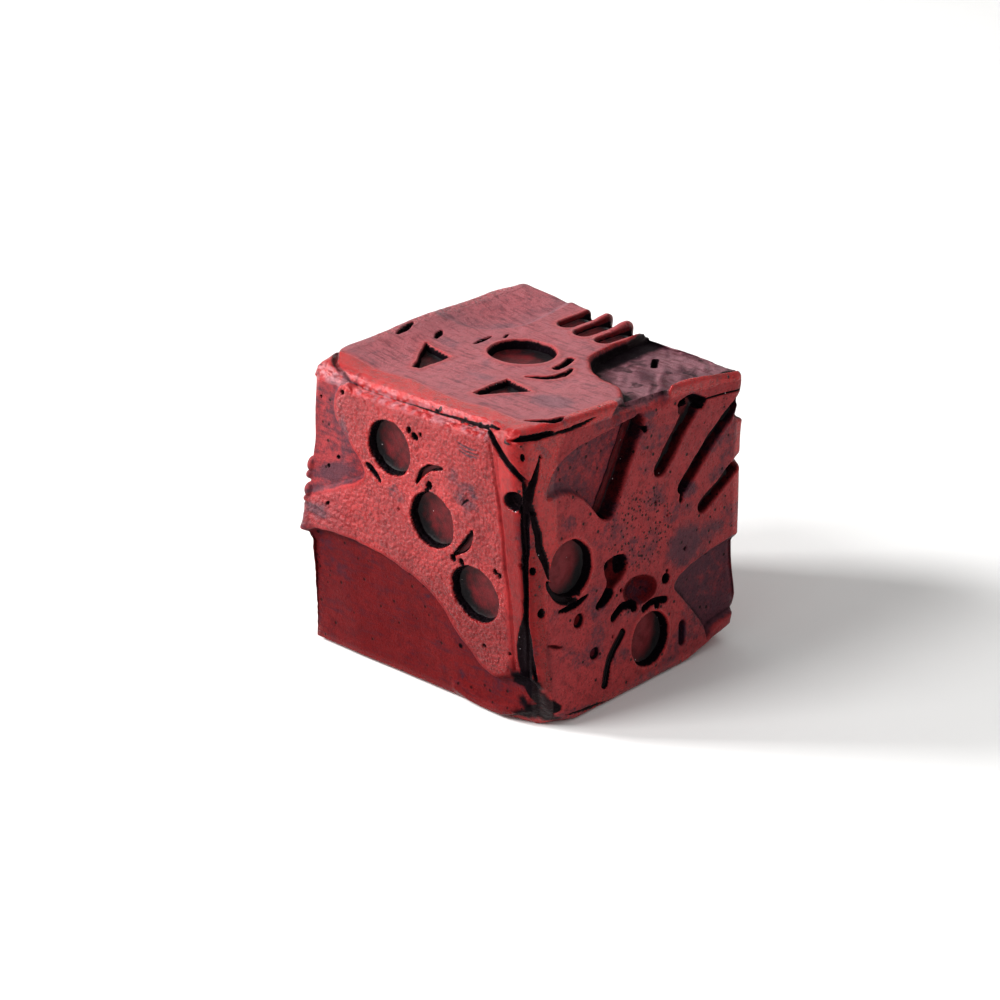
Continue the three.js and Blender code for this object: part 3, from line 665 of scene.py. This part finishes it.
def settle(points):
    """Moves points of the true block (mm, z from 0) to where the leaning mould puts them."""
    height = points[:, 2] - HALF
    local = np.column_stack([points[:, :2], height])
    moved = points.copy()
    for sides, shift in CORNER_LEANS:
        weight = np.prod(0.5 + np.array(sides) * local / EDGE, axis=1)
        moved += weight[:, None] * np.array(shift)
    near_left = np.maximum(0, 1 - (points[:, 0] + HALF) / LEFT_CROWN_WIDTH) ** 1.5
    near_top = np.clip(points[:, 2] / EDGE, 0, 1.1) ** 3
    moved[:, 2] += LEFT_CROWN_HEIGHT * near_left * near_top * np.cos(math.pi * points[:, 1] / EDGE)
    for middle, reach, shift in SWELLINGS:
        nearness = np.exp(-np.sum((points - middle) ** 2, axis=1) / reach**2)
        moved += nearness[:, None] * np.array(shift)
    for axis in range(3):
        lumps = 0.07 * noise(points, 5.5, 90 + axis)
        keep_flat = ease(points[:, 2] / 2.0) if axis == 2 else 1.0
        moved[:, axis] += lumps * keep_flat
    return moved


def side_axes(side):
    return [np.array(axis, float) for axis in SIDES[side]]


def on_side(side, uv, level):
    """Points at (u, v) on a side, `level` mm inside its plane, on the settled die."""
    u, v, out = side_axes(side)
    flat = uv[:, :1] * u + uv[:, 1:] * v + (HALF - level)[:, None] * out
    return settle(flat + (0, 0, HALF))


def cube_grid():
    """A grid over the cube shared along its edges: points, quads, and each quad corner's atlas UV."""
    steps = np.arange(CELLS + 1)
    a, b = [grid.ravel() for grid in np.meshgrid(steps, steps, indexing="ij")]
    corner = (np.arange(CELLS)[:, None] * (CELLS + 1) + np.arange(CELLS)).ravel()
    ring = np.column_stack([corner, corner + CELLS + 1, corner + CELLS + 2, corner + 1])
    lattice, quads, atlas = [], [], []
    for number, side in enumerate(SIDES):
        u, v, out = side_axes(side)
        square = out * CELLS + u * (2 * a - CELLS)[:, None] + v * (2 * b - CELLS)[:, None]
        lattice.append(((square + CELLS) / 2).round().astype(int))
        quads.append(ring + number * len(a))
        chart = ATLAS_MARGIN + (1 - 2 * ATLAS_MARGIN) / CELLS * np.column_stack([a, b])
        atlas.append(((chart + (number % 3, number // 3)) / (3, 2))[ring])
    lattice = np.vstack(lattice)
    key = lattice @ np.array([(CELLS + 1) ** 2, CELLS + 1, 1])
    _, first, shared = np.unique(key, return_index=True, return_inverse=True)
    cube = lattice[first] / CELLS * EDGE - HALF
    return cube, shared[np.vstack(quads)], np.concatenate(atlas)


def seen_from_side(cube, side):
    """The cube's points in a side's axes, rolled flat past its edges, and how far past they are."""
    u, v, out = side_axes(side)
    past = HALF - cube @ out
    flat = np.column_stack([cube @ u, cube @ v])
    near_edge = ease((np.abs(flat) - (HALF - WRAP)) / WRAP)
    return flat + np.sign(flat) * near_edge * past[:, None], past


def carve(cube):
    """Every relief laid over the cube, faded out where it has turned onto the next side."""
    fields = {channel: np.zeros(len(cube)) for channel in Relief.CHANNELS}
    for number, (side, draw) in enumerate(zip(SIDES, RELIEFS)):
        flat, past = seen_from_side(cube, side)
        near = past < WRAP
        relief = Relief(flat[near], seed=11 * number)
        draw(relief)
        share = 1 - ease((past[near] - 0.1) / (WRAP - 0.1))
        for channel, field in fields.items():
            field[near] = np.maximum(field[near], share * getattr(relief, channel))
    return fields


def edge_radius(cube):
    """The rounding of the nearest edge, a little different for each one."""
    points = cube + (0, 0, HALF)
    extra = np.zeros(len(cube))
    for start, end, radius in WORN_EDGES:
        gap, _ = segment_gap(points, np.array(start), np.array(end))
        extra = np.maximum(extra, (radius - EDGE_RADIUS) * (1 - ease((gap - 1.5) / 3.0)))
    return (EDGE_RADIUS + extra)[:, None]


def cast_body():
    cube, quads, atlas = cube_grid()
    fields = carve(cube)
    radius = edge_radius(cube)
    core = np.clip(cube, radius - HALF, HALF - radius)
    normal = cube - core
    normal /= np.linalg.norm(normal, axis=1)[:, None]
    grain = 0.018 * noise(cube, 0.5, 95) + 0.014 * noise(cube, 0.3, 96)
    skin = 0.05 * noise(cube, 1.7, 97) + grain * (0.3 + 2.4 * fields["pebble"])
    height = fields["rise"] - fields["depth"] + skin * (1 - 0.6 * fields["polish"])
    rests_flat = (cube[:, 2] < -HALF + 1e-6) & (fields["depth"] <= 0.02)
    height[rests_flat] *= 0.3
    surface = core + normal * (radius + height[:, None])
    points = settle(surface + (0, 0, HALF))
    points[:, 2] = np.maximum(points[:, 2], 0.0)

    mesh = bpy.data.meshes.new("cast_body_surface")
    mesh.from_pydata(points * MM, [], quads)
    mesh.shade_smooth()
    uv_layer = mesh.uv_layers.new(name="OFBake")
    uv_layer.data.foreach_set("uv", atlas.astype(np.float32).ravel())
    for channel in Relief.PAINTED:
        store(mesh, channel, fields[channel])
    return add_piece("carved_body", mesh, "cast_body")


# ------------ the paint films


def oval_film(u, v, radius_u, radius_v, turn):
    """Rim and middle of an oval film, point by point round it."""
    angle = np.linspace(0, 2 * math.pi, 72, endpoint=False)
    local = np.column_stack([radius_u * np.cos(angle), radius_v * np.sin(angle)])
    c, s = math.cos(math.radians(turn)), math.sin(math.radians(turn))
    rim = local @ np.array([[c, s], [-s, c]]) + (u, v)
    return rim, np.broadcast_to((u, v), rim.shape)


def stroke_film(points, width, taper=1.0):
    """Rim and spine of a film lying in a tool stroke."""
    line = smooth_line(points) if len(points) > 2 else np.linspace(points[0], points[1], 24)
    share = np.linspace(0, 1, len(line))
    half_width = width / 2 * (taper + (1 - taper) * np.sin(math.pi * share))
    heading = np.gradient(line, axis=0)
    heading /= np.linalg.norm(heading, axis=1)[:, None]
    across = np.column_stack([-heading[:, 1], heading[:, 0]]) * half_width[:, None]
    turns = np.linspace(0, math.pi, 9)[1:-1, None]
    end_cap = line[-1] + np.cos(turns) * across[-1] + np.sin(turns) * heading[-1] * half_width[-1]
    start_cap = line[0] - np.cos(turns) * across[0] - np.sin(turns) * heading[0] * half_width[0]
    rim = np.vstack([line + across, end_cap, (line - across)[::-1], start_cap])
    ends = [np.tile(point, (len(turns), 1)) for point in (line[-1], line[0])]
    return rim, np.vstack([line, ends[0], line[::-1], ends[1]])


def wedge_film(corners):
    """Rim and middle of a film in a wedge."""
    corners = np.asarray(corners, float)
    sides = zip(corners, np.roll(corners, -1, axis=0))
    rim = np.vstack([np.linspace(a, b, 16, endpoint=False) for a, b in sides])
    return rim, np.broadcast_to(corners.mean(axis=0), rim.shape)


def film(node, side, outline, depth, worn=0.0):
    """A closed film of dried paint: level in the middle, climbing the wall at its rim."""
    rim, middle = outline
    outwards = (rim - middle) / np.linalg.norm(rim - middle, axis=1)[:, None]
    # The black rim is widened on one side of the recess as painted shading.
    pool_and_shade = 0.6 + 0.4 * outwards @ np.array(POOL_AND_SHADE_TOWARDS[side])
    shares = (0.0, 0.2, 0.4, 0.58, 0.72, 0.82, 0.9, 0.95, 1.0)
    loops, levels = [], []
    for share in shares:
        loops.append(middle + (rim - middle) * share)
        wave = 0.02 * noise(np.column_stack([loops[-1], np.full(len(rim), depth)]), 0.8, 99)
        levels.append(depth - FILM_THICKNESS + wave - FILM_CLIMB * share**9)
    for share in (1.0, 0.0):
        loops.append(middle + (rim - middle) * share)
        levels.append(np.full(len(rim), depth + FILM_BEDDING))
    points = on_side(side, np.vstack(loops), np.concatenate(levels))
    here = np.arange(len(rim))
    after = np.roll(here, -1)
    quads = []
    for ring in range(len(loops)):
        low, high = ring * len(rim), (ring + 1) % len(loops) * len(rim)
        quads.append(np.column_stack([low + here, high + here, high + after, low + after]))

    mesh = bpy.data.meshes.new(node + "_surface")
    mesh.from_pydata(points * MM, [], np.vstack(quads))
    mesh.shade_smooth()
    store(mesh, "rim", np.concatenate([share * pool_and_shade for share in (*shares, 1.0, 1.0)]))
    store(mesh, "worn", np.full(len(points), worn))
    weld(mesh)
    return add_piece("dried_" + node, mesh, node)


def weld(mesh):
    """Joins the points that fall together along a film's spine, so that it has no slit."""
    work = bmesh.new()
    work.from_mesh(mesh)
    bmesh.ops.remove_doubles(work, verts=work.verts, dist=0.0005 * MM)
    work.to_mesh(mesh)
    work.free()


def all_films():
    """(frame node, side, outline, recess depth, share rubbed thin) of every film."""
    for side, (centres, radius_u, radius_v, turn) in PIPS.items():
        for i, (u, v) in enumerate(centres, 1):
            outline = oval_film(u, v, radius_u - PIP_FILM_GAP, radius_v - PIP_FILM_GAP, turn)
            yield f"pip_paint_{side}_{i}", side, outline, PIP_DEPTH, PIP_WEAR.get(side, 0.0)
    for side, grooves in OPEN_GROOVES.items():
        for i, (u, v, width) in enumerate(grooves, 1):
            outline = stroke_film([(u, HALF - 2.0), (u, v)], width - 0.65)
            yield f"groove_paint_{side}_{i}", side, outline, OPEN_GROOVE_DEPTH
    for i, (_, start, end, width, depth) in enumerate(RIGHT_GROOVES, 1):
        yield f"groove_paint_right_{i}", "right", stroke_film([start, end], width - 0.1), depth
    for i, corners in enumerate(TOP_WEDGES, 1):
        yield f"wedge_paint_top_{i}", "top", wedge_film(corners), WEDGE_DEPTH
    for side, i, line, width, taper in LINE_FILMS:
        yield f"line_paint_{side}_{i}", side, stroke_film(line, width, taper), LINE_DEPTH


def store(mesh, name, values):
    """Keeps one value for each point, for the materials to read."""
    attribute = mesh.attributes.new(name, "FLOAT", "POINT")
    attribute.data.foreach_set("value", values.astype(np.float32))


def add_piece(name, mesh, node):
    piece = bpy.data.objects.new(name, mesh)
    bpy.context.scene.collection.objects.link(piece)
    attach(piece, "root")
    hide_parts(node)
    return piece


# ------------ materials


class Shader:
    """A small helper to wire a material's nodes; positions fed to textures are in millimetres."""

    def __init__(self, name):
        self.material = bpy.data.materials.new(name)
        self.material.use_nodes = True
        self.tree = self.material.node_tree
        self.bsdf = self.tree.nodes["Principled BSDF"]
        place = {0: self.add("ShaderNodeTexCoord").outputs["Object"], "Scale": 1 / MM}
        self.position = self.add("ShaderNodeVectorMath", place, operation="SCALE").outputs[0]

    def add(self, kind, inputs=None, **settings):
        """A new node with its settings made and its inputs fed."""
        node = self.tree.nodes.new(kind)
        for key, value in settings.items():
            setattr(node, key, value)
        self.feed(node, inputs or {})
        return node

    def feed(self, node, inputs):
        for key, value in inputs.items():
            if isinstance(value, bpy.types.NodeSocket):
                self.tree.links.new(value, node.inputs[key])
            else:
                node.inputs[key].default_value = value

    def math(self, operation, a, b):
        return self.add("ShaderNodeMath", {0: a, 1: b}, operation=operation).outputs[0]

    def times(self, *factors):
        return reduce(partial(self.math, "MULTIPLY"), factors)

    def plus(self, *terms):
        return reduce(partial(self.math, "ADD"), terms)

    def attribute(self, name):
        return self.add("ShaderNodeAttribute", attribute_name=name).outputs["Fac"]

    def noise(self, size, detail=4.0, roughness=0.6, stretch=None, turn=0):
        """Noise with features about `size` mm across, turned and drawn out along axes by `stretch`."""
        vector = self.position
        if stretch:
            drawn_out = {"Vector": vector, "Scale": [1 / s for s in stretch],
                         "Rotation": (0, 0, math.radians(turn))}
            vector = self.add("ShaderNodeMapping", drawn_out).outputs[0]
        inputs = {"Vector": vector, "Scale": 1 / size, "Detail": detail, "Roughness": roughness}
        return self.add("ShaderNodeTexNoise", inputs).outputs["Fac"]

    def ramp(self, value, low, high):
        """Smoothly 0 below low and 1 above high."""
        inputs = {"Value": value, "From Min": low, "From Max": high}
        return self.add("ShaderNodeMapRange", inputs, interpolation_type="SMOOTHSTEP").outputs["Result"]

    def between(self, share, low, high):
        inputs = {"Value": share, "To Min": low, "To Max": high}
        return self.add("ShaderNodeMapRange", inputs).outputs["Result"]

    def mix(self, share, a, b):
        inputs = {"Factor": share, "A": a, "B": b}
        return self.add("ShaderNodeMix", inputs, data_type="RGBA").outputs["Result"]

    def dots(self, spacing, radius, keep):
        """Scattered round dots: 1 inside one; `keep` is the share of cells that hold a dot."""
        cells = self.add("ShaderNodeTexVoronoi", {"Scale": 1 / spacing, "Vector": self.position})
        near = self.ramp(cells.outputs["Distance"], radius / spacing, 0.6 * radius / spacing)
        chance = self.add("ShaderNodeSeparateColor", {0: cells.outputs["Color"]}).outputs[0]
        return self.times(near, self.math("LESS_THAN", chance, keep))

    def pebbles(self, size):
        """Rounded grains packed side by side: 1 on top of each, falling towards the gaps."""
        inputs = {"Scale": 1 / size, "Smoothness": 0.35, "Vector": self.position}
        cells = self.add("ShaderNodeTexVoronoi", inputs, feature="SMOOTH_F1")
        return self.between(cells.outputs["Distance"], 1.0, 0.0)

    def bump(self, height, distance, strength, **below):
        inputs = {"Distance": distance * MM, "Strength": strength, "Height": height, **below}
        return self.add("ShaderNodeBump", inputs).outputs["Normal"]


def rgb(*levels):
    """A colour given as it looks on screen, 0 to 255, as linear light."""
    shares = [level / 255 for level in levels]
    linear = [c / 12.92 if c <= 0.04045 else ((c + 0.055) / 1.055) ** 2.4 for c in shares]
    return (*linear, 1.0)


def resin_material():
    """Red resin: dusty where matte, with painted sheen and highlights, deep and glossy where handled, black
    wash and painted shading in the recesses.
    """
    s = Shader("carved_resin")
    patches = s.noise(4.5, detail=3)
    mottle = s.noise(0.8, detail=6, roughness=0.65)
    grain = s.noise(0.16, detail=4, roughness=0.7)
    crossing = s.math("SUBTRACT", s.noise(0.25, stretch=(1, 8, 1), turn=15), 0.08)
    streaks = s.math("MAXIMUM", s.noise(0.3, detail=5, stretch=(9, 1, 1), turn=35), crossing)

    matte = s.mix(s.ramp(patches, 0.35, 0.65), rgb(140, 31, 33), rgb(158, 37, 38))
    matte = s.mix(s.ramp(mottle, 0.42, 0.72), matte, rgb(112, 18, 22))
    matte = s.mix(s.times(s.ramp(grain, 0.5, 0.66), 0.55), matte, rgb(84, 12, 17))
    bright = s.mix(s.ramp(mottle, 0.4, 0.72), rgb(166, 10, 12), rgb(124, 4, 7))
    polish = s.ramp(s.plus(s.attribute("polish"), s.between(mottle, -0.2, 0.2)), 0.25, 0.75)
    colour = s.mix(polish, matte, bright)
    # Painted shading: the colour darkened towards deep oxblood.
    colour = s.mix(s.times(s.attribute("shade"), 0.85), colour, rgb(52, 2, 5))

    haze = s.plus(s.attribute("haze"), s.between(mottle, -0.6, 0.55), s.between(streaks, -0.45, 0.45))
    haze = s.times(s.ramp(haze, 0.15, 0.85), s.ramp(s.attribute("haze"), 0.0, 0.2))
    colour = s.mix(s.times(haze, 0.85), colour, rgb(38, 27, 40))
    scratches = s.times(s.ramp(streaks, 0.5, 0.62), s.attribute("brush"))
    colour = s.mix(s.times(scratches, 0.75), colour, rgb(60, 16, 24))
    # Pale pink: a dusting, and painted sheen and highlights on the top, the bevel and the shoulder.
    dust = s.times(s.attribute("dust"), s.between(grain, 1.3, 0.7), s.between(scratches, 1.0, 0.4),
                   s.between(mottle, 1.6, 0.4))
    colour = s.mix(dust, colour, rgb(150, 102, 110))
    fleck = s.times(s.ramp(s.noise(0.3, detail=5, roughness=0.8), 0.56, 0.68), 0.5)
    colour = s.mix(fleck, colour, rgb(58, 12, 18))

    pore_share = s.attribute("pores")
    small = s.times(s.dots(0.33, 0.13, 0.85), s.ramp(pore_share, 0.3, 0.75))
    large = s.times(s.dots(1.1, 0.17, 0.9), s.ramp(pore_share, 0.05, 0.5))
    pores = s.math("MAXIMUM", small, large)
    colour = s.mix(pores, colour, rgb(16, 4, 6))

    # Near-black: the black wash, with painted shading in the recesses.
    ragged = s.plus(s.attribute("soot"), s.between(mottle, -0.3, 0.3))
    soot = s.times(s.ramp(ragged, 0.25, 0.75), s.ramp(s.attribute("soot"), 0.02, 0.3))
    colour = s.mix(soot, colour, s.mix(s.ramp(grain, 0.5, 0.75), rgb(9, 5, 8), rgb(26, 18, 24)))
    # Pale specks on the black: a dusting, and painted glints.
    colour = s.mix(s.times(s.dots(0.7, 0.06, 0.22), soot), colour, rgb(190, 175, 178))

    pebble = s.attribute("pebble")
    roughness = s.plus(s.between(grain, 0.36, 0.56), s.times(polish, -0.22), s.times(pebble, -0.2),
                       s.times(haze, 0.08))
    dull = s.times(soot, s.between(polish, 1.0, 0.7))
    specular = s.times(s.plus(0.2, s.times(polish, 0.5), s.times(pebble, 0.3)),
                       s.between(s.attribute("shade"), 1.0, 0.15), s.between(dull, 1.0, 0.2))

    grains = s.plus(s.pebbles(0.36), s.times(s.noise(0.25, detail=3), 0.9))
    pebbled = s.bump(grains, 0.2, s.between(pebble, 0.08, 1.0))
    brushed = s.bump(streaks, 0.1, s.times(s.attribute("brush"), 0.8), Normal=pebbled)
    pitted = s.bump(s.math("SUBTRACT", s.times(grain, 0.6), pores), 0.13, 0.8, Normal=brushed)
    s.feed(s.bsdf, {
        "Base Color": colour,
        "Roughness": s.math("MAXIMUM", roughness, 0.16),
        "Specular IOR Level": specular,
        "Specular Tint": rgb(255, 185, 185),
        "Normal": pitted,
    })
    return s.material


def paint_material():
    """Dried dark wash: oxblood where thin, black where it has gathered against the wall, widened on one side
    as painted shading.
    """
    s = Shader("dried_wash")
    mottle = s.noise(0.9, detail=5)
    grain = s.noise(0.18, detail=4, roughness=0.7)
    thin = s.mix(s.ramp(mottle, 0.35, 0.7), rgb(86, 13, 19), rgb(48, 8, 12))
    worn = s.times(s.attribute("worn"), s.ramp(mottle, 0.35, 0.6))
    thin = s.mix(worn, thin, rgb(118, 34, 40))
    # Black at the rim: gathered wash, widened on one side as painted shading.
    pooled_and_shaded = s.ramp(s.plus(s.attribute("rim"), s.between(mottle, -0.25, 0.25)), 0.35, 0.8)
    colour = s.mix(pooled_and_shaded, thin, s.mix(s.ramp(grain, 0.4, 0.7), rgb(7, 4, 6), rgb(22, 16, 20)))
    s.feed(s.bsdf, {
        # Pale specks on the films: a dusting, and painted glints.
        "Base Color": s.mix(s.dots(0.6, 0.05, 0.3), colour, rgb(205, 190, 192)),
        "Roughness": s.between(grain, 0.34, 0.55),
        "Specular IOR Level": 0.14,
        "Normal": s.bump(s.plus(mottle, grain), 0.05, 0.8),
    })
    return s.material


def floor_material():
    s = Shader("pale_floor")
    s.feed(s.bsdf, {
        "Base Color": s.mix(s.noise(30, detail=3), rgb(226, 225, 224), rgb(232, 232, 231)),
        "Roughness": s.between(s.noise(2.0), 0.75, 0.9),
    })
    return s.material


# ------------ floor, light, camera

CAMERA_AZIMUTH = 45.38
CAMERA_ELEVATION = 23.07
CAMERA_ROLL = -0.6
CAMERA_PLACE = Vector((139.3, -140.5, 97.0)) * MM
CAMERA_LENS = 93.6

# The backdrop, in metres: how far it comes towards the camera, where and how wide it bends, its
# height and half its width.
FLOOR_REACH = 0.9
BEND_FROM = 0.25
BEND_RADIUS = 0.35
WALL_HEIGHT = 0.9
FLOOR_HALF_WIDTH = 1.2
FLOOR_COLUMNS = 9


def backdrop(material):
    """A floor that curves up into a wall behind the die, turned to face the camera."""
    turns = np.linspace(0, math.pi / 2, 24)
    bend = [(BEND_FROM + BEND_RADIUS * math.sin(t), BEND_RADIUS * (1 - math.cos(t))) for t in turns]
    profile = [(-FLOOR_REACH, 0.0), (0.0, 0.0), *bend, (BEND_FROM + BEND_RADIUS, WALL_HEIGHT)]
    across = np.linspace(-FLOOR_HALF_WIDTH, FLOOR_HALF_WIDTH, FLOOR_COLUMNS)
    points = [(x, y, z) for y, z in profile for x in across]
    corners = [row * FLOOR_COLUMNS + column
               for row in range(len(profile) - 1) for column in range(FLOOR_COLUMNS - 1)]
    faces = [(i, i + 1, i + FLOOR_COLUMNS + 1, i + FLOOR_COLUMNS) for i in corners]
    mesh = bpy.data.meshes.new("backdrop")
    mesh.from_pydata(points, [], faces)
    mesh.shade_smooth()
    mesh.materials.append(material)
    sweep = bpy.data.objects.new("backdrop", mesh)
    sweep.rotation_euler.z = math.radians(CAMERA_AZIMUTH)
    bpy.context.scene.collection.objects.link(sweep)


def direction(azimuth, elevation):
    """Unit vector from the die towards a viewer; azimuth 0 is the front, 90 the right side."""
    a, e = math.radians(azimuth), math.radians(elevation)
    return Vector((math.sin(a) * math.cos(e), -math.cos(a) * math.cos(e), math.sin(e)))


def camera():
    data = bpy.data.cameras.new("camera")
    data.lens = CAMERA_LENS
    data.sensor_width = 36.0
    data.clip_start = 0.01
    eye = bpy.data.objects.new("camera", data)
    look = -direction(CAMERA_AZIMUTH, CAMERA_ELEVATION)
    level = look.to_track_quat("-Z", "Y").to_matrix().to_4x4()
    roll = Matrix.Rotation(math.radians(CAMERA_ROLL), 4, "Z")
    eye.matrix_world = Matrix.Translation(CAMERA_PLACE) @ level @ roll
    bpy.context.scene.collection.objects.link(eye)
    bpy.context.scene.camera = eye


def softbox(name, azimuth, elevation, distance, size, power):
    data = bpy.data.lights.new(name, "AREA")
    data.size = size
    data.energy = power
    lamp = bpy.data.objects.new(name, data)
    towards = direction(azimuth, elevation)
    lamp.location = towards * distance + Vector((0, 0, HALF * MM))
    lamp.rotation_mode = "QUATERNION"
    lamp.rotation_quaternion = towards.to_track_quat("Z", "Y")
    bpy.context.scene.collection.objects.link(lamp)


def studio():
    softbox("key", -24, 40, 0.6, 0.22, 3.0)
    softbox("edge_light", -53, 31, 0.6, 0.12, 4.3)
    world = bpy.data.worlds.new("studio")
    world.use_nodes = True
    background = world.node_tree.nodes["Background"]
    background.inputs["Color"].default_value = (1.0, 1.0, 1.0, 1.0)
    background.inputs["Strength"].default_value = 0.55
    bpy.context.scene.world = world
    bpy.context.scene.view_settings.view_transform = "Standard"


# ------------ build

resin = resin_material()
paint = paint_material()
cast_body().data.materials.append(resin)
for parts in all_films():
    film(*parts).data.materials.append(paint)
backdrop(floor_material())
camera()
studio()
